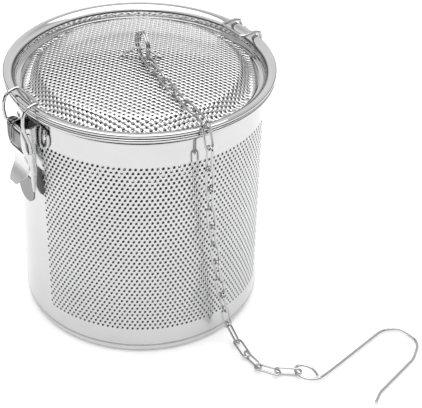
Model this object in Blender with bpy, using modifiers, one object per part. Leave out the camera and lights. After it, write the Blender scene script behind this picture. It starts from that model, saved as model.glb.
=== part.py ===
"""Perforated stainless infuser basket: hinged lid, toggle latch, split ring, chain and hanging hook.

Metres, +Z up. The origin is the centre of the flat underside.
The hinge is at +Y, the latch at -Y, and the chain hangs at +X.
"""

import math

import bmesh
import bpy
from mathutils import Matrix, Vector

MM = 0.001
STEPS = 72  # facets of each turned piece

# Basket, in millimetres
WALL_R = 60.0
SHEET = 0.6
WALL_FOOT_Z = 4.1
RIM_R = 63.1
RIM_Z = 125.35
RIM_BEAD_R = 1.1
CUP_R = 59.1
CUP_TOP_Z = 9.0

# Lid, in millimetres
CROWN_Z = 131.9
CROWN_RADIUS = 311.0
PLATEAU_R = 45.0
LEDGE_Z = 123.0
LID_BEAD_R = 1.0
LID_BEAD_CENTRE = (63.3, 127.75)

# Lid hinge and its bracket, in millimetres
HINGE_Y = 66.8
HINGE_Z = 124.5
HINGE_WIRE_R = 0.8
HINGE_LEG_X = 8.0

# Toggle latch, in millimetres
LEVER_Y = -65.6
LEVER_Z = 115.0
BAIL_Y = -65.2
BAIL_Z = 106.2
BAIL_WIRE_R = 0.8
BAIL_LEG_X = 8.6
PLATE_R = 61.1

# Ring and lug on the lid, in millimetres
LUG_YAW = 52.0
LUG_TOP_Z = 137.0
LUG_SHEET = 0.7
RING_YAW = -12.5
RING_R = 6.5
RING_WIRE_R = 0.5
RING_PITCH = 1.15
RING_TURNS = 2.3
RING_OFFSET = 3.3
RING_Z = 139.35

# Chain and hook, in millimetres
LINK_WIRE_R = 0.55
LINK_HALF = 6.3  # centre of a link to the centre of its end wire
LINK_BEND_R = 1.95
HANG_X = 67.2
HANG_TOP_Z = 114.7
HANG_SPACING = 10.98
HOOK_WIRE_R = 0.75

UP = Vector((0, 0, 1))


def clear_scene():
    for obj in list(bpy.data.objects):
        bpy.data.objects.remove(obj)


def make_collection(name):
    collection = bpy.data.collections.new(name)
    bpy.context.scene.collection.children.link(collection)
    return collection


clear_scene()
PARTS = make_collection("infuser_basket")
CUTTERS = make_collection("cutters")
CUTTERS.hide_render = True


def steel(name, grey, roughness):
    material = bpy.data.materials.new(name)
    material.use_nodes = True
    shader = material.node_tree.nodes["Principled BSDF"]
    shader.inputs["Base Color"].default_value = (grey, grey, grey * 1.01, 1)
    shader.inputs["Metallic"].default_value = 1
    shader.inputs["Roughness"].default_value = roughness
    return material


def place(name, data, grey, roughness, location=(0, 0, 0), parent=None):
    """A new object of the part with its own material; location is in metres in the world."""
    obj = bpy.data.objects.new(name, data)
    data.materials.append(steel(name, grey, roughness))
    PARTS.objects.link(obj)
    obj.location = location
    if parent:
        obj.parent = parent
        obj.matrix_parent_inverse = Matrix.Translation(-parent.location)
    return obj


def axis_empty(name, x, y, z):
    empty = bpy.data.objects.new(name, None)
    empty.location = Vector((x, y, z)) * MM
    empty.empty_display_size = 0.01
    PARTS.objects.link(empty)
    return empty


def smooth(obj, angle=35.0):
    for face in obj.data.polygons:
        face.use_smooth = True
    obj.data.set_sharp_from_angle(angle=math.radians(angle))


def arc(centre, radius, start, end, count):
    """Points of an arc in a plane, angles in degrees, both ends included."""
    points = []
    for i in range(count + 1):
        angle = math.radians(start + (end - start) * i / count)
        points.append((centre[0] + radius * math.cos(angle), centre[1] + radius * math.sin(angle)))
    return points


def turned(name, profile, closed, grey, roughness, parent=None):
    """A piece turned about Z from (radius, z) points that run down its outer side and back up inside."""
    mesh = bpy.data.meshes.new(name)
    points = [(r * MM, 0, z * MM) for r, z in profile]
    edges = [(i, i + 1) for i in range(len(points) - 1)]
    if closed:
        edges.append((len(points) - 1, 0))
    mesh.from_pydata(points, edges, [])
    obj = place(name, mesh, grey, roughness, parent=parent)
    screw = obj.modifiers.new("turn", "SCREW")
    screw.axis = "Z"
    screw.steps = STEPS
    screw.render_steps = STEPS
    screw.use_merge_vertices = True
    screw.merge_threshold = 0.00001
    screw.use_smooth_shade = True
    return obj


def rounded(points, radius, count=5):
    """A route through the points with each inner corner turned on the given radius."""
    route = [Vector(points[0])]
    for before, corner, after in zip(points, points[1:], points[2:]):
        corner = Vector(corner)
        back = Vector(before) - corner
        ahead = Vector(after) - corner
        opening = back.angle(ahead)
        reach = min(radius / math.tan(opening / 2), 0.48 * back.length, 0.48 * ahead.length)
        first = corner + back.normalized() * reach
        last = corner + ahead.normalized() * reach
        for i in range(count + 1):
            t = i / count
            route.append(first * (1 - t) ** 2 + corner * 2 * t * (1 - t) + last * t**2)
    route.append(Vector(points[-1]))
    return route


def wire(name, points, radius, grey, roughness, cyclic=False, sides=2, origin=(0, 0, 0), parent=None):
    """Round wire along points in millimetres in the world; origin is where its own axis is."""
    origin = Vector(origin)
    curve = bpy.data.curves.new(name, "CURVE")
    curve.dimensions = "3D"
    curve.bevel_depth = radius * MM
    curve.bevel_resolution = sides
    curve.use_fill_caps = True
    curve.render_resolution_u = 0
    spline = curve.splines.new("POLY")
    spline.points.add(len(points) - 1)
    for point, at in zip(spline.points, points):
        point.co = (*((Vector(at) - origin) * MM), 1)
    spline.use_cyclic_u = cyclic
    spline.use_smooth = True
    return place(name, curve, grey, roughness, origin * MM, parent)


def slab(name, outline, along, low, high):
    """A mesh object: a flat outline pushed straight along an axis from low to high, in millimetres."""
    if along == "X":
        corners = [(low, a, b) for a, b in outline]
        push = Vector((high - low, 0, 0))
    elif along == "Y":
        corners = [(a, low, b) for a, b in outline]
        push = Vector((0, high - low, 0))
    else:
        corners = [(a, b, low) for a, b in outline]
        push = Vector((0, 0, high - low))
    mesh = bpy.data.meshes.new(name)
    shape = bmesh.new()
    face = shape.faces.new([shape.verts.new(Vector(c) * MM) for c in corners])
    pushed = bmesh.ops.extrude_face_region(shape, geom=[face])
    moved = [v for v in pushed["geom"] if isinstance(v, bmesh.types.BMVert)]
    bmesh.ops.translate(shape, verts=moved, vec=push * MM)
    bmesh.ops.recalc_face_normals(shape, faces=shape.faces)
    shape.to_mesh(mesh)
    shape.free()
    return bpy.data.objects.new(name, mesh)


def cylinder(name, start, end, radius, sides=20):
    """A mesh object: a round bar from start to end, in millimetres."""
    start = Vector(start)
    run = Vector(end) - start
    mesh = bpy.data.meshes.new(name)
    shape = bmesh.new()
    bmesh.ops.create_cone(
        shape,
        cap_ends=True,
        segments=sides,
        radius1=radius * MM,
        radius2=radius * MM,
        depth=run.length * MM,
        matrix=Matrix.Translation((start + run / 2) * MM) @ run.to_track_quat("Z", "Y").to_matrix().to_4x4(),
    )
    shape.to_mesh(mesh)
    shape.free()
    return bpy.data.objects.new(name, mesh)


def combine(base, steps):
    """Applies Booleans to base in turn; each step is an operation and a tool object."""
    for number, (operation, tool) in enumerate(steps):
        CUTTERS.objects.link(tool)
        tool.display_type = "WIRE"
        cut = base.modifiers.new(f"{operation.lower()}_{number}", "BOOLEAN")
        cut.operation = operation
        cut.object = tool
        cut.solver = "EXACT"
    return base


def finish_mesh(obj, grey, roughness, axis=None):
    """Adds a mesh object to the part, with its origin on axis, an empty, if it turns about one."""
    obj.data.materials.append(steel(obj.name, grey, roughness))
    PARTS.objects.link(obj)
    if axis:
        obj.data.transform(Matrix.Translation(-axis.location))
        obj.parent = axis
    smooth(obj)
    return obj


def rounded_outline(points, radius, count=4):
    """A closed flat outline with every corner turned on the given radius."""
    outline = []
    for i, corner in enumerate(points):
        corner = Vector(corner)
        back = Vector(points[i - 1]) - corner
        ahead = Vector(points[(i + 1) % len(points)]) - corner
        reach = min(radius / math.tan(back.angle(ahead) / 2), 0.48 * back.length, 0.48 * ahead.length)
        first = corner + back.normalized() * reach
        last = corner + ahead.normalized() * reach
        for step in range(count + 1):
            t = step / count
            outline.append(tuple(first * (1 - t) ** 2 + corner * 2 * t * (1 - t) + last * t**2))
    return outline


def curved_plate(name, azimuth, half_angle, inner, outer, low, high):
    """A mesh object: a plate bent round the basket, from radius inner to outer."""
    count = 10
    outside = arc((0, 0), outer, azimuth - half_angle, azimuth + half_angle, count)
    inside = arc((0, 0), inner, azimuth + half_angle, azimuth - half_angle, count)
    return slab(name, outside + inside, "Z", low, high)


# Basket: the wall with its rolled rim, and the bottom cup pressed inside its foot
wall_profile = arc((RIM_R, RIM_Z), RIM_BEAD_R, 90, -165, 9)
wall_profile += [(60.9, 124.5), (60.2, 123.9), (WALL_R, 123.0), (WALL_R, WALL_FOOT_Z)]
wall_profile += [(WALL_R - SHEET, WALL_FOOT_Z), (WALL_R - SHEET, 123.5)]
wall_profile += [(59.8, 124.6), (60.5, 125.7), (61.6, 126.3)]
turned("basket_wall", wall_profile, True, 0.62, 0.18)

cup_corner = (CUP_R - 1.5, 1.5)
cup_profile = [(0, SHEET)] + arc(cup_corner, 1.5 - SHEET, -90, 0, 3)
cup_profile += [(CUP_R - SHEET, CUP_TOP_Z), (CUP_R, CUP_TOP_Z)]
cup_profile += arc(cup_corner, 1.5, 0, -90, 4) + [(0, 0)]
turned("basket_bottom", cup_profile, False, 0.62, 0.2)

# Lid: a plain ring that rests on the rim, and a crowned disc that rests on the ring's inner ledge
hinge_axis = axis_empty("lid_hinge_axis", 0, HINGE_Y, HINGE_Z)

frame_profile = [(59.2, 127.1), (60.1, 128.1), (61.2, 128.55), (62.3, 128.75)]
frame_profile += arc(LID_BEAD_CENTRE, LID_BEAD_R, 90, -155, 8)
frame_profile += [(61.8, 127.95), (60.9, 127.65), (59.9, 126.9), (59.2, 125.8), (58.9, 124.6)]
frame_profile += [(58.9, 122.7), (58.6, 122.4), (57.9, 122.4), (57.6, 121.5), (54.2, 121.5)]
frame_profile += [(54.2, 122.1), (56.2, 122.1), (56.2, LEDGE_Z), (58.0, LEDGE_Z), (58.3, 123.3)]
frame_profile += [(58.3, 124.9), (58.6, 126.1)]
turned("lid_frame", frame_profile, True, 0.66, 0.12, hinge_axis)

crown = [(r, CROWN_Z - r * r / (2 * CROWN_RADIUS)) for r in (0, 15, 30, PLATEAU_R)]
dome_profile = crown + [(46.8, 128.25), (48.0, 127.6)]
dome_profile += [(51.9, 123.5), (52.5, 123.1), (53.2, LEDGE_Z), (55.9, LEDGE_Z), (55.9, 122.4)]
dome_profile += [(53.1, 122.4), (52.2, 122.5), (51.5, 123.0), (47.6, 127.1), (46.6, 127.65)]
dome_profile += [(r, z - SHEET) for r, z in reversed(crown)]
turned("lid_dome", dome_profile, False, 0.6, 0.2, hinge_axis)

lug_half = [(1.6, LUG_TOP_Z), (2.7, 136.75), (8.5, 133.0), (9.0, 132.8), (10.2, 132.8)]
lug_under = [(10.2, 132.1), (8.8, 132.1), (8.2, 132.3), (2.4, 136.1), (1.6, LUG_TOP_Z - LUG_SHEET)]
lug_outline = lug_half + lug_under + [(-u, z) for u, z in reversed(lug_half + lug_under)]
lug = slab("lid_lug", lug_outline, "Y", -0.9, 0.9)
lug.data.transform(Matrix.Rotation(math.radians(LUG_YAW), 4, "Z"))
finish_mesh(lug, 0.62, 0.2, hinge_axis)

hinge_side = [(HINGE_Y, HINGE_Z), (66.6, 126.5), (65.5, 129.1), (62.5, 130.1), (54.2, 129.9)]
hinge_route = [(4.4, HINGE_Y, HINGE_Z)] + [(HINGE_LEG_X, y, z) for y, z in hinge_side]
hinge_route += [(-x, y, z) for x, y, z in reversed(hinge_route)]
hinge_start = (0, HINGE_Y, HINGE_Z)
hinge_loop = rounded(hinge_route, 2.0)
wire("hinge_wire", hinge_loop, HINGE_WIRE_R, 0.6, 0.15, origin=hinge_start, parent=hinge_axis)

# Hinge bracket: a plate bent to the wall, with two ears that carry the ends of the hinge wire
bracket = curved_plate("hinge_bracket", 90, 13.0, WALL_R + 0.3, PLATE_R, 110.0, 123.0)
bracket_outline = rounded_outline([(-11.5, 112), (11.5, 112), (11.5, 121), (-11.5, 121)], 3)
bracket_front = slab("bracket_outline", bracket_outline, "Y", 50, 70)
ear = [(60.5, 113.0), (64.8, 115.5), (68.3, 121.0)] + arc((HINGE_Y, HINGE_Z), 1.8, -20, 200, 9)
ear += [(63.6, 122.4), (60.5, 120.6)]
ear_left = slab("bracket_ear_left", ear, "X", -6.0, -5.0)
ear_right = slab("bracket_ear_right", ear, "X", 5.0, 6.0)
bore_start = (-8, HINGE_Y, HINGE_Z)
bore_end = (8, HINGE_Y, HINGE_Z)
bracket_bore = cylinder("bracket_bore", bore_start, bore_end, HINGE_WIRE_R + 0.35, 16)
combine(
    bracket,
    [
        ("INTERSECT", bracket_front),
        ("UNION", ear_left),
        ("UNION", ear_right),
        ("DIFFERENCE", bracket_bore),
    ],
)
finish_mesh(bracket, 0.6, 0.2)

# Toggle latch: plate with ears on the wall, pin, lever and bail
base = curved_plate("latch_base_plate", -90, 15.0, WALL_R + 0.3, PLATE_R, 106.0, 122.0)
base_outline = rounded_outline([(-14.3, 108), (14.3, 108), (14.3, 120), (-14.3, 120)], 5.5)
base_front = slab("base_outline", base_outline, "Y", -70, -50)
latch_ear = [(-60.5, 109.0), (-65.4, 106.0), (-66.7, 106.0), (-66.7, 113.4)]
latch_ear += arc((LEVER_Y, LEVER_Z), 1.7, -150, -270, 6) + [(-60.5, 117.4)]
latch_ear_left = slab("latch_ear_left", latch_ear, "X", -5.7, -4.7)
latch_ear_right = slab("latch_ear_right", latch_ear, "X", 4.7, 5.7)
bridge_outline = [(-66.7, 106.0), (-65.9, 106.0), (-65.9, 113.4), (-66.7, 113.4)]
latch_bridge = slab("latch_bridge", bridge_outline, "X", -5.2, 5.2)
pin_bore = cylinder("latch_pin_bore", (-9, LEVER_Y, LEVER_Z), (9, LEVER_Y, LEVER_Z), 1.3, 16)
spot_left = cylinder("weld_spot_left", (-11.4, -59.6, LEVER_Z), (-11.66, -60.4, LEVER_Z), 1.4, 16)
spot_right = cylinder("weld_spot_right", (11.4, -59.6, LEVER_Z), (11.66, -60.4, LEVER_Z), 1.4, 16)
combine(
    base,
    [
        ("INTERSECT", base_front),
        ("UNION", latch_ear_left),
        ("UNION", latch_ear_right),
        ("UNION", latch_bridge),
        ("UNION", spot_left),
        ("UNION", spot_right),
        ("DIFFERENCE", pin_bore),
    ],
)
finish_mesh(base, 0.58, 0.2)

lever_axis = axis_empty("latch_lever_axis", 0, LEVER_Y, LEVER_Z)
pin = cylinder("latch_pivot_pin", (-7.35, LEVER_Y, LEVER_Z), (7.35, LEVER_Y, LEVER_Z), 1.0, 20)
finish_mesh(pin, 0.55, 0.2)

front_outer = [(-68.5, 118.0), (-68.7, 111.0), (-68.0, 106.5), (-66.4, 102.0), (-65.8, 97.5)]
front_outer += [(-66.7, 94.2), (-68.8, 91.2), (-71.2, 88.6)]
front_inner = [(-70.7, 88.0), (-68.3, 90.5), (-66.1, 93.6), (-65.0, 97.3)]
front_inner += [(-65.6, 101.9), (-67.2, 106.3), (-67.9, 111.0), (-67.7, 118.0)]
lever = slab("latch_lever", front_outer + front_inner, "X", -7.0, 7.0)
tab_outline = [(-7.0, 119.0), (-7.0, 99.0), (-6.2, 96.0)]
tab_outline += arc((0, 94.0), 6.0, 180, 360, 12) + [(6.2, 96.0), (7.0, 99.0), (7.0, 119.0)]
tab_shape = slab("tab_shape", tab_outline, "Y", -80, -60)
side = [(-68.5, 118.0), (-67.6, 118.7), (-65.2, 118.6), (-63.0, 117.4), (-61.9, 114.5)]
side += [(-61.9, 97.0), (-62.8, 88.0), (-63.4, 84.0), (-64.4, 84.0), (-65.2, 94.0), (-65.4, 97.5)]
side += [(-66.0, 102.0), (-67.6, 106.5), (-68.4, 111.0)]
side_left = slab("lever_side_left", side, "X", -7.0, -6.2)
side_right = slab("lever_side_right", side, "X", 6.2, 7.0)
tongue_outline = [(-6.6, 90.0), (-6.6, 83.0)] + arc((0, 82.4), 6.6, 180, 360, 12)[1:-1]
tongue_outline += [(6.6, 83.0), (6.6, 90.0)]
tongue = slab("lever_tongue", tongue_outline, "Y", -64.4, -63.6)
window_outline = rounded_outline([(-6.0, 105.0), (6.0, 105.0), (6.0, 125.0), (-6.0, 125.0)], 1)
window = slab("lever_notch", window_outline, "Y", -71, -60)
lever_bore = cylinder("lever_bore", (-9, LEVER_Y, LEVER_Z), (9, LEVER_Y, LEVER_Z), 1.3, 16)
bail_bore = cylinder("bail_bore", (-9, BAIL_Y, BAIL_Z), (9, BAIL_Y, BAIL_Z), BAIL_WIRE_R + 0.35, 16)
combine(
    lever,
    [
        ("INTERSECT", tab_shape),
        ("UNION", side_left),
        ("UNION", side_right),
        ("UNION", tongue),
        ("DIFFERENCE", window),
        ("DIFFERENCE", lever_bore),
        ("DIFFERENCE", bail_bore),
    ],
)
for tool in (tab_shape, side_left, side_right, tongue, window, lever_bore, bail_bore):
    tool.parent = lever_axis
    tool.matrix_parent_inverse = Matrix.Translation(-lever_axis.location)
finish_mesh(lever, 0.6, 0.18, lever_axis)

bail_axis = axis_empty("latch_bail_axis", 0, BAIL_Y, BAIL_Z)
bail_axis.parent = lever_axis
bail_axis.matrix_parent_inverse = Matrix.Translation(-lever_axis.location)
bail_leg = [(-65.2, 106.2), (-65.7, 111.5), (-66.9, 115.5), (-68.0, 119.0), (-68.5, 122.5)]
bail_leg += [(-68.1, 126.0), (-67.0, 128.8), (-65.0, 130.3), (-62.3, 131.0), (-59.9, 130.7)]
bail_route = [(5.95, BAIL_Y, BAIL_Z)] + [(BAIL_LEG_X, y, z) for y, z in bail_leg]
bail_route += [(-x, y, z) for x, y, z in reversed(bail_route)]
bail = wire("latch_bail", rounded(bail_route, 1.6, 2), BAIL_WIRE_R, 0.6, 0.15, origin=(0, BAIL_Y, BAIL_Z))
bail.parent = bail_axis
bail.matrix_parent_inverse = Matrix.Translation(-Vector((0, BAIL_Y, BAIL_Z)) * MM)

# Split ring through the lug
ring_out = Vector((math.cos(math.radians(RING_YAW)), math.sin(math.radians(RING_YAW)), 0))
ring_side = UP.cross(ring_out)
ring_centre = ring_out * RING_OFFSET + UP * RING_Z
ring_route = []
ring_count = 46
for i in range(ring_count + 1):
    turn = RING_TURNS * i / ring_count
    swing = math.radians(81 + 360 * turn)
    along = RING_PITCH * (turn - RING_TURNS / 2)
    ring_route.append(
        ring_centre + (ring_out * math.cos(swing) + UP * math.sin(swing)) * RING_R + ring_side * along
    )
ring_pivot = Vector((0, 0, LUG_TOP_Z - 0.5 * LUG_SHEET))
wire("lid_ring", ring_route, RING_WIRE_R, 0.55, 0.18, sides=1, origin=ring_pivot)

# Chain: centre, direction and lie of each link at rest; a flat link is as wide as the ground is level
links = [
    (Vector((11.3, -2.5, 134.7)), Vector((1, -0.21, 0)), "flat"),
    (Vector((20.6, -4.3, 134.1)), Vector((1, -0.14, -0.06)), "upright"),
    (Vector((30.2, -5.3, 132.9)), Vector((1, -0.12, -0.08)), "flat"),
    (Vector((39.8, -6.6, 132.2)), Vector((1, -0.1, -0.06)), "upright"),
    (Vector((49.2, -7.3, 131.5)), Vector((1, -0.1, 0)), "flat"),
    (Vector((58.9, -8.5, 131.6)), Vector((1, -0.12, 0)), "upright"),
    (Vector((65.5, -9.3, 125.55)), Vector((3.7, -0.1, -12.0)), "flat"),
]
for k in range(10):
    sag = (k / 9) ** 1.7
    slope = 13.6 * 1.7 * (k / 9) ** 0.7 / 9
    centre = Vector((HANG_X, -9.2 + 13.6 * sag, HANG_TOP_Z - HANG_SPACING * k))
    links.append((centre, Vector((0, slope, -HANG_SPACING)), "flat" if k % 2 else "upright"))
links += [
    (Vector((69.5, 6.9, 6.45)), Vector((0.5, 0.2, -0.84)), "upright"),
    (Vector((77.8, 6.6, 2.4)), Vector((1, -0.2, -0.04)), "flat"),
    (Vector((87.6, 5.5, 2.65)), Vector((1, 0, 0)), "upright"),
    (Vector((96.6, 7.6, 2.1)), Vector((0.85, 0.53, 0)), "flat"),
    (Vector((103.6, 14.6, 2.65)), Vector((0.66, 0.75, 0)), "upright"),
]


def link_frame(direction, lie):
    """The link's length and width directions."""
    length = direction.normalized()
    tangent = Vector((0, 1, 0)) if abs(length.z) > 0.5 else UP.cross(length)
    level = (tangent - length * tangent.dot(length)).normalized()
    return length, level if lie == "flat" else length.cross(level)


pivots = [ring_centre + ring_out * 4.6 - UP * 4.6]
for (centre, direction, _), (after, heading, _) in zip(links, links[1:]):
    end = centre + direction.normalized() * LINK_HALF
    start = after - heading.normalized() * LINK_HALF
    pivots.append((end + start) / 2)

for number, (centre, direction, lie) in enumerate(links, 1):
    length, width = link_frame(direction, lie)
    straight = LINK_HALF - LINK_BEND_R
    route = [(straight + x, y) for x, y in arc((0, 0), LINK_BEND_R, -90, 90, 5)]
    route += [(-x, -y) for x, y in route]
    points = [centre + length * x + width * y for x, y in route]
    name = f"chain_link_{number:02d}"
    wire(name, points, LINK_WIRE_R, 0.6, 0.2, cyclic=True, sides=1, origin=pivots[number - 1])

# Hook: one wire from the tip over the bend and down the shank into the eye
eye_centre = Vector((109.3, 21.7))
eye_long = Vector((0.95, 0.31)).normalized()
eye_across = Vector((-eye_long.y, eye_long.x))
flat_route = [(142.4, 36.3), (138.7, 42.7), (131.3, 72.0), (124.0, 83.5), (111.0, 82.5)]
flat_route += [(107.2, 73.5), (115.9, 28.0)]
hook_flat = [Vector(p[:2]) for p in rounded([(x, y, 0) for x, y in flat_route], 7.0, 5)]
for i in range(15):
    swing = math.radians(5 - 325 * i / 14)
    hook_flat.append(eye_centre + eye_long * 6.2 * math.cos(swing) + eye_across * 4.1 * math.sin(swing))
hook_route = []
for point in hook_flat:
    lift = max(0, (Vector((120, 82)) - point).dot(Vector((0.902, 0.431))))
    hook_route.append((point.x, point.y, 0.8 + 1.7 * lift / 42))
hook_pivot = Vector((106.6, 18.0, 2.5))
wire("hook", hook_route, HOOK_WIRE_R, 0.55, 0.15, origin=hook_pivot)
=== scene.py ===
"""Looks of the perforated infuser basket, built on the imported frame.

The sheet metal is pierced with real holes, so light and the chain's shadow pass through it. Lengths are in
millimetres until a mesh is made, and MM turns them into metres.
"""

import math

import bmesh
import bpy
import numpy as np
from mathutils import Matrix, Vector
from mathutils.geometry import delaunay_2d_cdt


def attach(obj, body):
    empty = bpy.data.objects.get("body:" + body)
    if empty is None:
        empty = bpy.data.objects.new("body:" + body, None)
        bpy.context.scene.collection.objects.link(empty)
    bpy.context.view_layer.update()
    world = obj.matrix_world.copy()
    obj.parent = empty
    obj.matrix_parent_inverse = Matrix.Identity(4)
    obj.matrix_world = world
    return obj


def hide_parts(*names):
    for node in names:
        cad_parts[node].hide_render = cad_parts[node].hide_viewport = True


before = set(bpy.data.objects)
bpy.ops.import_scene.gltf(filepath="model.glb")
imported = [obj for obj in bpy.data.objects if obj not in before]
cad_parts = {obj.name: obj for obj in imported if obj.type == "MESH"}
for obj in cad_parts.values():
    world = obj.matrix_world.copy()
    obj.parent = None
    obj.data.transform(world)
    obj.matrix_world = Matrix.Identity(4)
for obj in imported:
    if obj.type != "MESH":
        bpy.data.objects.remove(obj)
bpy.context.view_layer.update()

MM = 0.001
UP = Vector((0, 0, 1))
TURNS = 288  # steps round every turned surface

# Perforation
HOLE_R = 0.56
COLUMNS = 154  # columns of holes that the whole wall has room for; every second row is moved by half a column
FRONT_PANEL = (-82.8, 38.3)  # azimuths in degrees
BACK_PANEL = (97.2, 218.3)
ROW = 2.11
FIRST_ROW_Z = 15.6
ROWS = 45
BANDS_BELOW = 5  # plain bands of faces under the first row
BANDS_ABOVE = 6
LID_PITCH = 2.44
LID_HOLE_R = 0.5
BOTTOM_PIERCED_R = 54.0
BOTTOM_PLAIN_R = 56.0
HOLE_SIDES = 8
HOLE_SHARE = 0.93  # a triangle is in a hole if its middle is within this share of the hole's radius

# Places and sizes of the solids, as in part.py
WALL_R = 60.0
WALL_FOOT_Z = 4.1
WALL_TOP_Z = 122.9
SHEET = 0.6
RIM_R = 63.1
RIM_Z = 125.35
CUP_R = 59.1
CUP_BEND_R = 1.5
CUP_TOP_Z = 9.0
CROWN_Z = 131.9
CROWN_RADIUS = 311.0
HINGE_Y = 66.8
HINGE_Z = 124.5
PIN_Y = -65.6
LEVER_Z = 115.0
BAIL_Y = -65.2
BAIL_Z = 106.2
LINK_WIRE_R = 0.55
LINK_HALF = 6.3
LINK_BEND_R = 1.95
LOOP_WIRE_R = 0.8  # the hinge loop and the latch bail
RING_YAW = -12.5
RING_OFFSET = 3.3
RING_Z = 139.35
RING_TURNS = 2.3
RING_PITCH = 1.15

# Round wires that are a touch finer than their faceted solids, so that they stay inside the same box
RING_R = 6.44
RING_WIRE_R = 0.46
RING_START = 81  # degrees
RING_STEPS = 160
HOOK_WIRE_R = 0.7

CORNER_SHARE = 0.48  # the most of a side that a turned corner may take

# Steels
TONE_SCALE = 45
SCRATCH_DEPTH = 0.0001  # metres


# Materials


def steel(name, grey, rough_low, rough_high, grain, bump, stretch=(1, 1, 1)):
    """Bright stainless: fine scratches of scale grain, drawn out by stretch, over slow changes of tone."""
    material = bpy.data.materials.new(name)
    material.use_nodes = True
    nodes = material.node_tree.nodes
    links = material.node_tree.links
    shader = nodes["Principled BSDF"]
    shader.inputs["Metallic"].default_value = 1.0
    where = nodes.new("ShaderNodeTexCoord")
    spread = nodes.new("ShaderNodeMapping")
    spread.inputs["Scale"].default_value = stretch
    links.new(where.outputs["Object"], spread.inputs["Vector"])
    scratches = nodes.new("ShaderNodeTexNoise")
    scratches.inputs["Scale"].default_value = grain
    scratches.inputs["Detail"].default_value = 4
    links.new(spread.outputs["Vector"], scratches.inputs["Vector"])
    clouds = nodes.new("ShaderNodeTexNoise")
    clouds.inputs["Scale"].default_value = TONE_SCALE
    clouds.inputs["Detail"].default_value = 2
    links.new(where.outputs["Object"], clouds.inputs["Vector"])
    shade = nodes.new("ShaderNodeValToRGB")
    shade.color_ramp.elements[0].position = 0.3
    shade.color_ramp.elements[0].color = (grey * 0.94, grey * 0.94, grey * 0.945, 1)
    shade.color_ramp.elements[1].position = 0.7
    shade.color_ramp.elements[1].color = (grey, grey, grey * 1.005, 1)
    links.new(clouds.outputs["Fac"], shade.inputs["Fac"])
    links.new(shade.outputs["Color"], shader.inputs["Base Color"])
    rough = nodes.new("ShaderNodeMapRange")
    rough.inputs["To Min"].default_value = rough_low
    rough.inputs["To Max"].default_value = rough_high
    links.new(scratches.outputs["Fac"], rough.inputs["Value"])
    links.new(rough.outputs["Result"], shader.inputs["Roughness"])
    relief = nodes.new("ShaderNodeBump")
    relief.inputs["Strength"].default_value = bump
    relief.inputs["Distance"].default_value = SCRATCH_DEPTH
    links.new(scratches.outputs["Fac"], relief.inputs["Height"])
    links.new(relief.outputs["Normal"], shader.inputs["Normal"])
    return material


WALL_STEEL = steel("wall_steel", 0.56, 0.08, 0.16, 600, 0.08, (1, 1, 0.05))
DOME_STEEL = steel("dome_steel", 0.62, 0.04, 0.09, 500, 0.05)
BOTTOM_STEEL = steel("bottom_steel", 0.6, 0.1, 0.2, 500, 0.1)
RIM_STEEL = steel("rim_steel", 0.57, 0.04, 0.09, 500, 0.04)
# Inner faces: a rougher, duller finish, with a darker grey that is painted shade for the inside of the
# basket.
INSIDE_SHADE_STEEL = steel("inside_steel_painted_shade", 0.42, 0.2, 0.35, 500, 0.1)
# Walls of the holes: near-black painted shade, standing in for the shade inside the holes.
HOLE_WALL_SHADE_STEEL = steel("hole_wall_painted_shade", 0.05, 0.35, 0.5, 500, 0.1)
# Painted dark reflection: a dark grey for the bridge under the lever's notch and for the lever's tongue,
# standing in for dark surroundings reflected in them.
DARK_REFLECTION_STEEL = steel("painted_dark_reflection", 0.22, 0.25, 0.35, 700, 0.1)
# Painted highlight: a light, rough grey for the lever's thumb tab, where the light falls on it.
THUMB_HIGHLIGHT_STEEL = steel("thumb_painted_highlight", 0.75, 0.42, 0.52, 700, 0.1)
LATCH_STEEL = steel("latch_steel", 0.6, 0.06, 0.12, 700, 0.06, (1, 1, 0.2))
WIRE_STEEL = steel("wire_steel", 0.5, 0.04, 0.1, 900, 0.04)
CHAIN_STEEL = steel("chain_steel", 0.48, 0.06, 0.14, 900, 0.06)


# Shape helpers, in millimetres


def add(name, data, material, body, node=None):
    """A piece that rides on a body and stands for a node, if it has one."""
    obj = bpy.data.objects.new(name, data)
    bpy.context.scene.collection.objects.link(obj)
    data.materials.append(material)
    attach(obj, body)
    if node:
        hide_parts(node)
    return obj


def smooth(mesh, angle=32.0):
    """Smooth shading, with the edges over an angle in degrees kept crisp."""
    for face in mesh.polygons:
        face.use_smooth = True
    mesh.set_sharp_from_angle(angle=math.radians(angle))


def arc(centre, radius, start, end, count):
    """Points on a circle from one angle in degrees to another."""
    points = []
    for i in range(count + 1):
        angle = math.radians(start + (end - start) * i / count)
        points.append((centre[0] + radius * math.cos(angle), centre[1] + radius * math.sin(angle)))
    return points


def soft(points, rounds=2):
    """The open route with its corners cut, ends kept."""
    for _ in range(rounds):
        cut = [points[0]]
        for a, b in zip(points, points[1:]):
            cut.append(tuple(0.75 * p + 0.25 * q for p, q in zip(a, b)))
            cut.append(tuple(0.25 * p + 0.75 * q for p, q in zip(a, b)))
        cut.append(points[-1])
        points = cut
    return points


def turned_mesh(name, profile, closed=True):
    """A surface turned about Z; the profile runs down its outer side and back up inside."""
    verts = []
    for r, z in profile:
        for k in range(TURNS):
            angle = 2 * math.pi * k / TURNS
            verts.append((r * math.cos(angle) * MM, r * math.sin(angle) * MM, z * MM))
    faces = []
    count = len(profile)
    for i in range(count if closed else count - 1):
        j = (i + 1) % count
        for k in range(TURNS):
            n = (k + 1) % TURNS
            faces.append((i * TURNS + k, j * TURNS + k, j * TURNS + n, i * TURNS + n))
    mesh = bpy.data.meshes.new(name)
    mesh.from_pydata(verts, [], faces)
    smooth(mesh)
    return mesh


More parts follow.
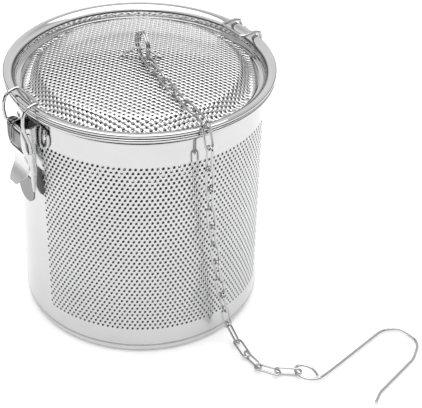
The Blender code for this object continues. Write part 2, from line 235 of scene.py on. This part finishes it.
def wire_curve(name, points, radius, cyclic=False, sides=5):
    """A round wire along the points."""
    curve = bpy.data.curves.new(name, "CURVE")
    curve.dimensions = "3D"
    curve.bevel_depth = radius * MM
    curve.bevel_resolution = sides
    curve.use_fill_caps = True
    spline = curve.splines.new("POLY")
    spline.points.add(len(points) - 1)
    for point, at in zip(spline.points, points):
        point.co = (*(Vector(at) * MM), 1)
    spline.use_cyclic_u = cyclic
    spline.use_smooth = True
    return curve


def wire(name, points, radius, material, body, node, cyclic=False, sides=5):
    add(name, wire_curve(name, points, radius, cyclic, sides), material, body, node)


def turned_corner(before, corner, after, radius, count):
    """The points that take the place of a corner, of any dimension, when it is turned."""
    corner = Vector(corner)
    back = Vector(before) - corner
    ahead = Vector(after) - corner
    most = CORNER_SHARE * min(back.length, ahead.length)
    reach = min(radius / math.tan(back.angle(ahead) / 2), most)
    first = corner + back.normalized() * reach
    last = corner + ahead.normalized() * reach
    steps = [i / count for i in range(count + 1)]
    return [first * (1 - t) ** 2 + corner * 2 * t * (1 - t) + last * t**2 for t in steps]


def rounded(points, radius, count=9):
    """A route through the points with each inner corner turned."""
    route = [Vector(points[0])]
    for before, corner, after in zip(points, points[1:], points[2:]):
        route += turned_corner(before, corner, after, radius, count)
    route.append(Vector(points[-1]))
    return route


def rounded_outline(points, radius, count=8):
    """A closed outline with every corner turned."""
    outline = []
    for i, corner in enumerate(points):
        after = points[(i + 1) % len(points)]
        outline += [tuple(p) for p in turned_corner(points[i - 1], corner, after, radius, count)]
    return outline


def thicken(obj, amount, offset):
    """Sheet thickness, with a duller inner face that is darkened as painted shade, and hole walls painted
    near black as shade in the holes.
    """
    solid = obj.modifiers.new("thickness", "SOLIDIFY")
    solid.thickness = amount * MM
    solid.offset = offset
    solid.use_even_offset = False
    obj.data.materials.append(INSIDE_SHADE_STEEL)
    obj.data.materials.append(HOLE_WALL_SHADE_STEEL)
    # The inner faces get the painted-shade inner steel, and the hole walls the near-black painted shade.
    solid.material_offset = 1
    solid.material_offset_rim = 2


# Basket wall: one grid round the wall, with a real hole in each cell of its two perforated panels


def in_panel(degrees):
    """Whether an azimuth is in one of the two perforated panels; the bands between them are plain."""
    around = degrees % 360
    near = (degrees + 180) % 360 - 180
    return FRONT_PANEL[0] < near < FRONT_PANEL[1] or BACK_PANEL[0] < around < BACK_PANEL[1]


foot_line = FIRST_ROW_Z - ROW / 2
levels = [WALL_FOOT_Z + (foot_line - WALL_FOOT_Z) * k / BANDS_BELOW for k in range(BANDS_BELOW)]
levels += [foot_line + ROW * k for k in range(ROWS + 1)]
top_line = levels[-1]
levels += [top_line + (WALL_TOP_Z - top_line) * k / BANDS_ABOVE for k in range(1, BANDS_ABOVE + 1)]


def wall_point(angle, z):
    return (WALL_R * math.cos(angle) * MM, WALL_R * math.sin(angle) * MM, z * MM)


def wall_mesh(name, low, high):
    """The part of the wall between two azimuths in degrees, both in plain bands."""
    step = 180 / COLUMNS
    start = round(low / step)
    end = round(high / step)
    across = end - start + 1
    verts = []
    for z in levels:
        verts += [wall_point(math.radians(k * step), z) for k in range(start, end + 1)]
    faces = []
    for row in range(len(levels) - 1):
        pierced = BANDS_BELOW <= row < BANDS_BELOW + ROWS
        z = (levels[row] + levels[row + 1]) / 2
        covered = set()
        for k in range(start + 1, end):
            if not pierced or (k + row) % 2 or not in_panel(k * step):
                continue
            covered.update((k - 1, k))
            under = [row * across + k - start + shift for shift in (-1, 0, 1)]
            over = [v + across for v in under]
            hole = [len(verts) + turn for turn in range(HOLE_SIDES)]
            for turn in range(HOLE_SIDES):
                swing = math.radians(225 + 45 * turn)
                angle = math.radians(k * step) + HOLE_R * math.cos(swing) / WALL_R
                verts.append(wall_point(angle, z + HOLE_R * math.sin(swing)))
            faces += [
                (under[0], under[1], hole[1], hole[0]),
                (under[1], under[2], hole[2], hole[1]),
                (under[2], over[2], hole[4], hole[3]),
                (under[2], hole[3], hole[2]),
                (over[2], over[1], hole[5], hole[4]),
                (over[1], over[0], hole[6], hole[5]),
                (over[0], under[0], hole[0], hole[7]),
                (over[0], hole[7], hole[6]),
            ]
        for k in range(start, end):
            if k not in covered:
                corner = row * across + k - start
                faces.append((corner, corner + 1, corner + across + 1, corner + across))
    mesh = bpy.data.meshes.new(name)
    mesh.from_pydata(verts, [], faces)
    return mesh


for name, low, high, node in (("wall_front", -112, 68, "basket_wall"), ("wall_back", 68, 248, None)):
    mesh = wall_mesh(name, low, high)
    smooth(mesh)
    panel = add(name, mesh, WALL_STEEL, "basket", node)
    thicken(panel, SHEET, -1)

# Rolled rim on top of the wall
rim_outer = soft([(62.0, 125.1), (61.1, 124.5), (60.2, 123.9), (WALL_R, WALL_TOP_Z)], 3)
rim_inner = [(WALL_R - SHEET, WALL_TOP_Z), (WALL_R - SHEET, 123.9), (59.9, 125.2), (60.6, 126.0)]
rim_inner = soft(rim_inner + [(61.8, 126.35)], 3)
rim = turned_mesh("rim", arc((RIM_R, RIM_Z), 1.1, 90, -165, 24) + rim_outer + rim_inner)
add("rim", rim, RIM_STEEL, "basket", None)


# Flat and crowned perforated discs, meshed between their holes


def disc_mesh(name, reach, pierced, rows_along, profile, rings):
    """A disc pierced on a close-packed lattice, bent to a profile of (radius, height) points.

    The lattice is flat, and a distance from its middle becomes the same distance along the profile. The rings
    are plain edges round the disc, the last of them its border.
    """
    along = Vector((math.cos(rows_along), math.sin(rows_along)))
    across = Vector((-along.y, along.x))
    centres = []
    most = int(reach / LID_PITCH) + 2
    for i in range(-most, most + 1):
        for j in range(-most, most + 1):
            at = across * (i * LID_PITCH * math.sqrt(0.75)) + along * ((j + 0.5 * (i % 2)) * LID_PITCH)
            if at.length < pierced:
                centres.append(at)
    points = []
    edges = []
    for centre in centres:
        first = len(points)
        for turn in range(HOLE_SIDES):
            swing = math.radians(22.5 + 45 * turn)
            points.append(centre + Vector((math.cos(swing), math.sin(swing))) * LID_HOLE_R)
            edges.append((first + turn, first + (turn + 1) % HOLE_SIDES))
    for ring in rings:
        first = len(points)
        for k in range(TURNS):
            angle = 2 * math.pi * k / TURNS
            points.append(Vector((math.cos(angle), math.sin(angle))) * ring)
            edges.append((first + k, first + (k + 1) % TURNS))
    flat, _, triangles, _, _, _ = delaunay_2d_cdt(points, edges, [], 0, 1e-6)
    places = np.array([tuple(p) for p in flat])
    middles = places[np.array(triangles)].mean(axis=1)
    grid = np.array([tuple(c) for c in centres])
    kept = []  # one answer for each triangle, found in chunks to save memory
    chunk = 2000
    for index in range(0, len(middles), chunk):
        part = middles[index : index + chunk]
        nearest = np.sqrt(((part[:, None, :] - grid[None, :, :]) ** 2).sum(axis=2)).min(axis=1)
        kept += list(nearest > LID_HOLE_R * HOLE_SHARE)
    faces = [tuple(tri) for tri, keep in zip(triangles, kept) if keep]
    run = [0.0]
    for a, b in zip(profile, profile[1:]):
        run.append(run[-1] + math.dist(a, b))
    run = np.array(run)
    distance = np.sqrt((places**2).sum(axis=1))
    radius = np.interp(distance, run, [p[0] for p in profile])
    height = np.interp(distance, run, [p[1] for p in profile])
    scale = radius / np.maximum(distance, 1e-9)
    verts = np.column_stack((places[:, 0] * scale, places[:, 1] * scale, height)) * MM
    mesh = bpy.data.meshes.new(name)
    mesh.from_pydata([tuple(v) for v in verts], [], faces)
    return mesh


crown = [(r, CROWN_Z - r * r / (2 * CROWN_RADIUS)) for r in range(0, 44, 3)]
shoulder = [(44.0, 128.79), (47.0, 128.3), (48.1, 127.55), (51.9, 123.5), (52.5, 123.05), (53.4, 123.0)]
shoulder += [(55.9, 123.0)]
dome_profile = crown + soft(shoulder, 2)
dome_reach = sum(math.dist(a, b) for a, b in zip(dome_profile, dome_profile[1:]))
lid_rows = math.atan2(0.616, -0.788)
dome = disc_mesh("dome", dome_reach, dome_reach - 0.7, lid_rows, dome_profile, [dome_reach])
smooth(dome, 40)
dome_piece = add("dome", dome, DOME_STEEL, "lid", "lid_dome")
thicken(dome_piece, SHEET, -1)

floor_reach = CUP_R - CUP_BEND_R
floor_profile = [(0, SHEET), (floor_reach, SHEET)]
floor_rings = [BOTTOM_PLAIN_R, floor_reach]
base_disc = disc_mesh("bottom_disc", floor_reach, BOTTOM_PIERCED_R, 0.0, floor_profile, floor_rings)
smooth(base_disc, 40)
bottom = add("bottom_disc", base_disc, BOTTOM_STEEL, "basket", "basket_bottom")
thicken(bottom, SHEET, -1)
cup_bend = (floor_reach, CUP_BEND_R)
cup = arc(cup_bend, CUP_BEND_R, 0, -90, 10) + arc(cup_bend, CUP_BEND_R - SHEET, -90, 0, 8)
cup = [(CUP_R, CUP_TOP_Z)] + cup + [(CUP_R - SHEET, CUP_TOP_Z)]
add("bottom_cup", turned_mesh("bottom_cup", cup), BOTTOM_STEEL, "basket", None)

# Lid ring: gently convex flange with a rolled edge, recess wall and ledge
flange = soft([(58.3, 124.9), (58.6, 126.1), (59.2, 127.1), (60.1, 128.0), (61.2, 128.5), (62.4, 128.72)], 2)
flange += arc((63.3, 127.75), 1.0, 90, -155, 20)
flange += soft([(61.8, 127.95), (60.9, 127.65), (59.9, 126.9), (59.2, 125.8), (58.9, 124.6)], 2)
flange += soft([(58.9, 123.2), (58.85, 122.5), (58.4, 122.4), (57.9, 122.4), (57.6, 121.6), (57.0, 121.5)], 2)
flange += [(54.2, 121.5), (54.2, 122.1), (56.2, 122.1), (56.2, 122.9), (56.3, 123.0)]
flange += soft([(57.4, 123.0), (58.1, 123.0), (58.3, 123.2), (58.3, 123.9)], 2)
add("lid_ring_sheet", turned_mesh("lid_ring_sheet", flange), RIM_STEEL, "lid", "lid_frame")


# Pressed pieces, cut with Booleans and then edge-rounded


def slab(name, outline, along, low, high):
    """An outline of the other two coordinates, pushed along an axis; not yet in the scene."""
    if along == "X":
        corners = [(low, a, b) for a, b in outline]
        push = Vector((high - low, 0, 0))
    elif along == "Y":
        corners = [(a, low, b) for a, b in outline]
        push = Vector((0, high - low, 0))
    else:
        corners = [(a, b, low) for a, b in outline]
        push = Vector((0, 0, high - low))
    mesh = bpy.data.meshes.new(name)
    shape = bmesh.new()
    face = shape.faces.new([shape.verts.new(Vector(c) * MM) for c in corners])
    pushed = bmesh.ops.extrude_face_region(shape, geom=[face])
    moved = [v for v in pushed["geom"] if isinstance(v, bmesh.types.BMVert)]
    bmesh.ops.translate(shape, verts=moved, vec=push * MM)
    bmesh.ops.recalc_face_normals(shape, faces=shape.faces)
    shape.to_mesh(mesh)
    shape.free()
    return bpy.data.objects.new(name, mesh)


def bar(name, start, end, radius, sides=32):
    """A round bar between two points; not yet in the scene."""
    start = Vector(start)
    run = Vector(end) - start
    mesh = bpy.data.meshes.new(name)
    shape = bmesh.new()
    turn = run.to_track_quat("Z", "Y").to_matrix().to_4x4()
    bmesh.ops.create_cone(
        shape,
        cap_ends=True,
        segments=sides,
        radius1=radius * MM,
        radius2=radius * MM,
        depth=run.length * MM,
        matrix=Matrix.Translation((start + run / 2) * MM) @ turn,
    )
    shape.to_mesh(mesh)
    shape.free()
    return bpy.data.objects.new(name, mesh)


def curved_plate(name, azimuth, half_angle, inner, outer, low, high):
    """A plate bent to the wall, between two radii and two heights."""
    outside = arc((0, 0), outer, azimuth - half_angle, azimuth + half_angle, 24)
    inside = arc((0, 0), inner, azimuth + half_angle, azimuth - half_angle, 24)
    return slab(name, outside + inside, "Z", low, high)


def carved(base, steps):
    """The base after the Booleans, as a plain mesh; the tools are removed."""
    bpy.context.scene.collection.objects.link(base)
    for operation, tool in steps:
        bpy.context.scene.collection.objects.link(tool)
        cut = base.modifiers.new(operation, "BOOLEAN")
        cut.operation = operation
        cut.object = tool
        cut.solver = "EXACT"
    graph = bpy.context.evaluated_depsgraph_get()
    mesh = bpy.data.meshes.new_from_object(base.evaluated_get(graph))
    for _, tool in steps:
        bpy.data.objects.remove(tool)
    bpy.data.objects.remove(base)
    return mesh


def pressed(name, mesh, material, body, node, edge):
    """Adds a pressed sheet piece with its edges eased."""
    mesh.materials.clear()
    obj = add(name, mesh, material, body, node)
    ease = obj.modifiers.new("edges", "BEVEL")
    ease.width = edge * MM
    ease.segments = 3
    ease.limit_method = "ANGLE"
    ease.angle_limit = math.radians(40)
    ease.harden_normals = False
    for face in mesh.polygons:
        face.use_smooth = True
    mesh.set_sharp_from_angle(angle=math.radians(50))
    return obj


def paint_shade_and_highlight(obj, material, low, high):
    """Gives a second steel, used for painted dark reflections and painted highlights, to the faces whose
    middles lie in a box, in millimetres.
    """
    obj.data.materials.append(material)
    for face in obj.data.polygons:
        middle = face.center / MM
        if all(a <= c <= b for a, c, b in zip(low, middle, high)):
            face.material_index = len(obj.data.materials) - 1


# Lug: a folded strip on the lid's crown, across the camera's view
lug_half = [(1.6, 137.0), (2.7, 136.75), (8.5, 133.0), (9.0, 132.8), (10.2, 132.8)]
lug_under = [(10.2, 132.1), (8.8, 132.1), (8.2, 132.3), (2.4, 136.1), (1.6, 136.3)]
lug_outline = lug_half + lug_under + [(-u, z) for u, z in reversed(lug_half + lug_under)]
lug = slab("lug_blank", lug_outline, "Y", -0.9, 0.9)
lug.data.transform(Matrix.Rotation(math.radians(52), 4, "Z"))
pressed("lug", lug.data, LATCH_STEEL, "lid", "lid_lug", 0.15)
bpy.data.objects.remove(lug)

# Hinge bracket: a plate on the wall with an ear on each side
bracket_face = rounded_outline([(-11.5, 112), (11.5, 112), (11.5, 121), (-11.5, 121)], 3)
ear = [(60.5, 113.0), (64.8, 115.5), (68.3, 121.0)] + arc((HINGE_Y, HINGE_Z), 1.8, -20, 200, 18)
ear += [(63.6, 122.4), (60.5, 120.6)]
bracket = carved(
    curved_plate("bracket", 90, 13.0, 60.3, 61.1, 110.0, 123.0),
    [
        ("INTERSECT", slab("face_cut", bracket_face, "Y", 50, 70)),
        ("UNION", slab("left_ear", ear, "X", -6.0, -5.0)),
        ("UNION", slab("right_ear", ear, "X", 5.0, 6.0)),
        ("DIFFERENCE", bar("hinge_bore", (-8, HINGE_Y, HINGE_Z), (8, HINGE_Y, HINGE_Z), 1.15)),
    ],
)
pressed("bracket", bracket, LATCH_STEEL, "basket", "hinge_bracket", 0.12)

# Latch base: a plate on the wall with two ears, a bridge between them and two weld spots
plate_face = rounded_outline([(-14.3, 108), (14.3, 108), (14.3, 120), (-14.3, 120)], 5.5)
bridge = [(-66.7, 106.0), (-65.9, 106.0), (-65.9, 113.4), (-66.7, 113.4)]
latch_ear = [(-60.5, 109.0), (-65.4, 106.0), (-66.7, 106.0), (-66.7, 113.4)]
latch_ear += arc((PIN_Y, LEVER_Z), 1.7, -150, -270, 12) + [(-60.5, 117.4)]
base_plate = carved(
    curved_plate("base", -90, 15.0, 60.3, 61.1, 106.0, 122.0),
    [
        ("INTERSECT", slab("face_cut", plate_face, "Y", -70, -50)),
        ("UNION", slab("left_ear", latch_ear, "X", -5.7, -4.7)),
        ("UNION", slab("right_ear", latch_ear, "X", 4.7, 5.7)),
        ("UNION", slab("bridge", bridge, "X", -5.2, 5.2)),
        ("UNION", bar("left_weld", (-11.4, -59.6, LEVER_Z), (-11.66, -60.4, LEVER_Z), 1.4)),
        ("UNION", bar("right_weld", (11.4, -59.6, LEVER_Z), (11.66, -60.4, LEVER_Z), 1.4)),
        ("DIFFERENCE", bar("pin_bore", (-9, PIN_Y, LEVER_Z), (9, PIN_Y, LEVER_Z), 1.3)),
    ],
)
plate = pressed("base_plate", base_plate, LATCH_STEEL, "basket", "latch_base_plate", 0.12)
# The bridge between the ears is painted a dark grey as a reflection of dark surroundings.
paint_shade_and_highlight(plate, DARK_REFLECTION_STEEL, (-5.0, -66.8, 105.0), (5.0, -65.8, 114.0))

pin = bar("pin", (-7.35, PIN_Y, LEVER_Z), (7.35, PIN_Y, LEVER_Z), 1.0)
pressed("pivot_pin", pin.data, LATCH_STEEL, "basket", "latch_pivot_pin", 0.15)
bpy.data.objects.remove(pin)

# Latch lever: a channel with a curled thumb tab, a notch over the bridge and a rounded tongue
front_outer = [(-68.5, 118.0), (-68.7, 111.0), (-68.0, 106.5), (-66.4, 102.0), (-65.8, 97.5)]
front_outer += [(-66.7, 94.2), (-68.8, 91.2), (-71.2, 88.6)]
front_inner = [(-70.7, 88.0), (-68.3, 90.5), (-66.1, 93.6), (-65.0, 97.3)]
front_inner += [(-65.6, 101.9), (-67.2, 106.3), (-67.9, 111.0), (-67.7, 118.0)]
tab = [(-7.0, 119.0), (-7.0, 99.0), (-6.2, 96.0)] + arc((0, 94.0), 6.0, 180, 360, 24)
tab += [(6.2, 96.0), (7.0, 99.0), (7.0, 119.0)]
side = [(-68.5, 118.0), (-67.6, 118.7), (-65.2, 118.6), (-63.0, 117.4), (-61.9, 114.5)]
side += [(-61.9, 97.0), (-62.8, 88.0), (-63.4, 84.0), (-64.4, 84.0), (-65.2, 94.0), (-65.4, 97.5)]
side += [(-66.0, 102.0), (-67.6, 106.5), (-68.4, 111.0)]
tongue = [(-6.6, 90.0), (-6.6, 83.0)] + arc((0, 82.4), 6.6, 180, 360, 24)[1:-1]
tongue += [(6.6, 83.0), (6.6, 90.0)]
notch = rounded_outline([(-6.0, 105.0), (6.0, 105.0), (6.0, 125.0), (-6.0, 125.0)], 1)
lever = carved(
    slab("lever", soft(front_outer) + soft(front_inner), "X", -7.0, 7.0),
    [
        ("INTERSECT", slab("tab_cut", tab, "Y", -80, -60)),
        ("UNION", slab("left_side", side, "X", -7.0, -6.2)),
        ("UNION", slab("right_side", side, "X", 6.2, 7.0)),
        ("UNION", slab("tongue", tongue, "Y", -64.4, -63.6)),
        ("DIFFERENCE", slab("notch", notch, "Y", -71, -60)),
        ("DIFFERENCE", bar("pin_bore", (-9, PIN_Y, LEVER_Z), (9, PIN_Y, LEVER_Z), 1.3)),
        ("DIFFERENCE", bar("bail_bore", (-9, BAIL_Y, BAIL_Z), (9, BAIL_Y, BAIL_Z), 1.15)),
    ],
)
lever_piece = pressed("lever", lever, LATCH_STEEL, "latch_lever_body", "latch_lever", 0.15)
# The tongue is painted a dark grey as a reflection of dark surroundings.
paint_shade_and_highlight(lever_piece, DARK_REFLECTION_STEEL, (-6.7, -64.45, 75.0), (6.7, -63.5, 90.5))
# The thumb tab is painted a light grey as a highlight where the light falls on it.
paint_shade_and_highlight(lever_piece, THUMB_HIGHLIGHT_STEEL, (-6.7, -73.0, 85.0), (6.7, -66.0, 95.5))

# Hinge loop and latch bail: each one bent wire, the same on both sides
hinge_side = [(HINGE_Y, HINGE_Z), (66.6, 126.5), (65.5, 129.1), (62.5, 130.1), (54.2, 129.9)]
hinge_route = [(4.4, HINGE_Y, HINGE_Z)] + [(8.0, y, z) for y, z in hinge_side]
hinge_route += [(-x, y, z) for x, y, z in reversed(hinge_route)]
wire("hinge_loop", rounded(hinge_route, 2.0), LOOP_WIRE_R, WIRE_STEEL, "lid", "hinge_wire")

bail_leg = [(BAIL_Y, BAIL_Z), (-65.7, 111.5), (-66.9, 115.5), (-68.0, 119.0), (-68.5, 122.5), (-68.1, 126.0)]
bail_leg += [(-67.0, 128.8), (-65.0, 130.3), (-62.3, 131.0), (-59.9, 130.7)]
bail_route = [(5.95, BAIL_Y, BAIL_Z)] + [(8.6, y, z) for y, z in bail_leg]
bail_route += [(-x, y, z) for x, y, z in reversed(bail_route)]
wire("bail", rounded(bail_route, 1.6, 5), LOOP_WIRE_R, WIRE_STEEL, "bail_body", "latch_bail")

# Split ring: a close coil that stands in the lug
ring_out = Vector((math.cos(math.radians(RING_YAW)), math.sin(math.radians(RING_YAW)), 0))
ring_side = UP.cross(ring_out)
ring_centre = ring_out * RING_OFFSET + UP * RING_Z
ring_route = []
for i in range(RING_STEPS + 1):
    turn = RING_TURNS * i / RING_STEPS
    swing = math.radians(RING_START + 360 * turn)
    along = RING_PITCH * (turn - RING_TURNS / 2)
    spoke = ring_out * math.cos(swing) + UP * math.sin(swing)
    ring_route.append(ring_centre + spoke * RING_R + ring_side * along)
wire("split_ring", ring_route, RING_WIRE_R, WIRE_STEEL, "ring_body", "lid_ring", sides=4)

# Chain: each link's centre, its direction and how its oval lies. It runs over the lid, down the wall and out
# on the table.
links = [
    (Vector((11.3, -2.5, 134.7)), Vector((1, -0.21, 0)), "flat"),
    (Vector((20.6, -4.3, 134.1)), Vector((1, -0.14, -0.06)), "upright"),
    (Vector((30.2, -5.3, 132.9)), Vector((1, -0.12, -0.08)), "flat"),
    (Vector((39.8, -6.6, 132.2)), Vector((1, -0.1, -0.06)), "upright"),
    (Vector((49.2, -7.3, 131.5)), Vector((1, -0.1, 0)), "flat"),
    (Vector((58.9, -8.5, 131.6)), Vector((1, -0.12, 0)), "upright"),
    (Vector((65.5, -9.3, 125.55)), Vector((3.7, -0.1, -12.0)), "flat"),
]
HANGING = 10  # links down the wall, which drift sideways more and more
DROP = 10.98
DRIFT = 13.6
DRIFT_POWER = 1.7
for k in range(HANGING):
    down = k / (HANGING - 1)
    slope = DRIFT * DRIFT_POWER * down ** (DRIFT_POWER - 1) / (HANGING - 1)
    centre = Vector((67.2, -9.2 + DRIFT * down**DRIFT_POWER, 114.7 - DROP * k))
    links.append((centre, Vector((0, slope, -DROP)), "flat" if k % 2 else "upright"))
links += [
    (Vector((69.5, 6.9, 6.45)), Vector((0.5, 0.2, -0.84)), "upright"),
    (Vector((77.8, 6.6, 2.4)), Vector((1, -0.2, -0.04)), "flat"),
    (Vector((87.6, 5.5, 2.65)), Vector((1, 0, 0)), "upright"),
    (Vector((96.6, 7.6, 2.1)), Vector((0.85, 0.53, 0)), "flat"),
    (Vector((103.6, 14.6, 2.65)), Vector((0.66, 0.75, 0)), "upright"),
]
for number, (centre, direction, lie) in enumerate(links, 1):
    length = direction.normalized()
    tangent = Vector((0, 1, 0)) if abs(length.z) > 0.5 else UP.cross(length)
    level = (tangent - length * tangent.dot(length)).normalized()
    width = level if lie == "flat" else length.cross(level)
    route = [(LINK_HALF - LINK_BEND_R + x, y) for x, y in arc((0, 0), LINK_BEND_R, -90, 90, 14)]
    route += [(-x, -y) for x, y in route]
    points = [centre + length * x + width * y for x, y in route]
    link = f"link_{number:02d}"
    wire(f"{link}_wire", points, LINK_WIRE_R, CHAIN_STEEL, link, f"chain_{link}", True, 3)

# Hook: one wire from the tip over the bend, down the shank and round the eye, which narrows to a point where
# it leaves the shank
HOOK_BEND_R = 14.0
HOOK_REST_Z = 0.8
EYE_HALF_LENGTH = 6.2
EYE_HALF_WIDTH = 4.1
EYE_START = -10  # degrees round the eye, from the shank
EYE_SWEEP = -316
EYE_STEPS = 42
EYE_TAPER = 1.19  # the eye has its full width from a quarter turn on
EYE_RISE = 1.7  # the wire climbs this much over the run, towards the last link
EYE_RUN = 42
RISE_FROM = Vector((120, 82))
RISE_ALONG = Vector((0.902, 0.431))
eye_centre = Vector((109.3, 21.7))
eye_long = Vector((0.95, 0.31)).normalized()
eye_across = Vector((-eye_long.y, eye_long.x))
flat_route = [(142.4, 36.3), (138.7, 42.7), (131.3, 72.0), (124.0, 83.5), (111.0, 82.5)]
flat_route += [(107.2, 73.5), (115.9, 25.6)]
hook_flat = [Vector(p[:2]) for p in rounded([(x, y, 0) for x, y in flat_route], HOOK_BEND_R, 12)]
for i in range(EYE_STEPS + 1):
    swing = math.radians(EYE_START + EYE_SWEEP * i / EYE_STEPS)
    taper = min(1.0, EYE_TAPER * math.sqrt(abs(math.sin(swing / 2))))
    ahead = EYE_HALF_LENGTH * math.cos(swing)
    aside = EYE_HALF_WIDTH * math.sin(swing) * taper
    hook_flat.append(eye_centre + eye_long * ahead + eye_across * aside)
hook_route = []
for x, y in soft([tuple(point) for point in hook_flat], 2):
    run = max(0, (RISE_FROM - Vector((x, y))).dot(RISE_ALONG))
    hook_route.append((x, y, HOOK_REST_Z + EYE_RISE * run / EYE_RUN))
wire("hook_wire", hook_route, HOOK_WIRE_R, WIRE_STEEL, "hook_body", "hook")


# Floor, light and camera


FLOOR_HALF = 12.0  # metres, wide enough to hide the dark low part of the sky in low views
FLOOR_Z = -0.0004  # metres, just under the basket's foot
FLOOR_GREY = 0.9
FLOOR_GLOW = 0.2

paper = bpy.data.materials.new("floor_paper")
paper.use_nodes = True
paper_shader = paper.node_tree.nodes["Principled BSDF"]
paper_shader.inputs["Base Color"].default_value = (FLOOR_GREY, FLOOR_GREY, FLOOR_GREY, 1)
paper_shader.inputs["Roughness"].default_value = 0.6
paper_shader.inputs["Emission Color"].default_value = (1, 1, 1, 1)
paper_shader.inputs["Emission Strength"].default_value = FLOOR_GLOW

floor_mesh = bpy.data.meshes.new("floor")
floor_corners = [(-FLOOR_HALF, -FLOOR_HALF, 0), (FLOOR_HALF, -FLOOR_HALF, 0)]
floor_corners += [(FLOOR_HALF, FLOOR_HALF, 0), (-FLOOR_HALF, FLOOR_HALF, 0)]
floor_mesh.from_pydata(floor_corners, [], [(0, 1, 2, 3)])
floor_mesh.materials.append(paper)
floor = bpy.data.objects.new("floor", floor_mesh)
bpy.context.scene.collection.objects.link(floor)
floor.location = (0, 0, FLOOR_Z)

# Sky: bands of grey by height, tilted a little, dark low down so that the steel has dark edges to reflect
SKY_TILT = (-0.166, 0.112, 1)
SKY_BANDS = ((0.0, 0.03), (0.26, 0.05), (0.42, 0.6), (0.52, 1.0), (0.75, 0.9), (0.86, 0.6))
SKY_STRENGTH = 1.15

world = bpy.data.worlds.new("studio")
world.use_nodes = True
sky = world.node_tree.nodes
where = sky.new("ShaderNodeTexCoord")
rise = sky.new("ShaderNodeVectorMath")
rise.operation = "DOT_PRODUCT"
rise.inputs[1].default_value = SKY_TILT
shade = sky.new("ShaderNodeValToRGB")
world.node_tree.links.new(where.outputs["Generated"], rise.inputs[0])
world.node_tree.links.new(rise.outputs["Value"], shade.inputs["Fac"])
world.node_tree.links.new(shade.outputs["Color"], sky["Background"].inputs["Color"])
ramp = shade.color_ramp.elements
for index, (position, grey) in enumerate(SKY_BANDS):
    band = ramp[index] if index < 2 else ramp.new(position)
    band.position = position
    band.color = (grey, grey, grey, 1)
sky["Background"].inputs["Strength"].default_value = SKY_STRENGTH
bpy.context.scene.world = world

# One large soft light straight above, its lengths in metres
LIGHT_SIZE = 1.3
LIGHT_RADIANCE = 2.2
light = bpy.data.lights.new("top_box", "AREA")
light.shape = "RECTANGLE"
light.size = LIGHT_SIZE
light.size_y = LIGHT_SIZE
light.energy = math.pi * LIGHT_SIZE * LIGHT_SIZE * LIGHT_RADIANCE
top_box = bpy.data.objects.new("top_box", light)
bpy.context.scene.collection.objects.link(top_box)
top_box.location = (0.03, 0, 1.07)

# Camera: turn is its heading, tilt how far it looks down and roll its lean, in degrees; place is in metres
CAMERA_TURN = 52
CAMERA_TILT = 35.68
CAMERA_ROLL = 1.91
CAMERA_PLACE = (0.4119, -0.2769, 0.4037)
CAMERA_LENS = 102.0
turn = math.radians(CAMERA_TURN)
tilt = math.radians(CAMERA_TILT)
roll = math.radians(CAMERA_ROLL)
right = Vector((math.cos(turn), math.sin(turn), 0))
forward = Vector((-math.sin(turn) * math.cos(tilt), math.cos(turn) * math.cos(tilt), -math.sin(tilt)))
above = right.cross(forward)
lens = bpy.data.cameras.new("camera")
lens.sensor_width = 36
lens.lens = CAMERA_LENS
lens.clip_start = 0.01
camera = bpy.data.objects.new("camera", lens)
bpy.context.scene.collection.objects.link(camera)
x_axis = right * math.cos(roll) + above * math.sin(roll)
y_axis = above * math.cos(roll) - right * math.sin(roll)
place = Matrix((x_axis, y_axis, -forward)).transposed().to_4x4()
place.translation = CAMERA_PLACE
camera.matrix_world = place
bpy.context.scene.camera = camera
bpy.context.scene.view_settings.view_transform = "Standard"
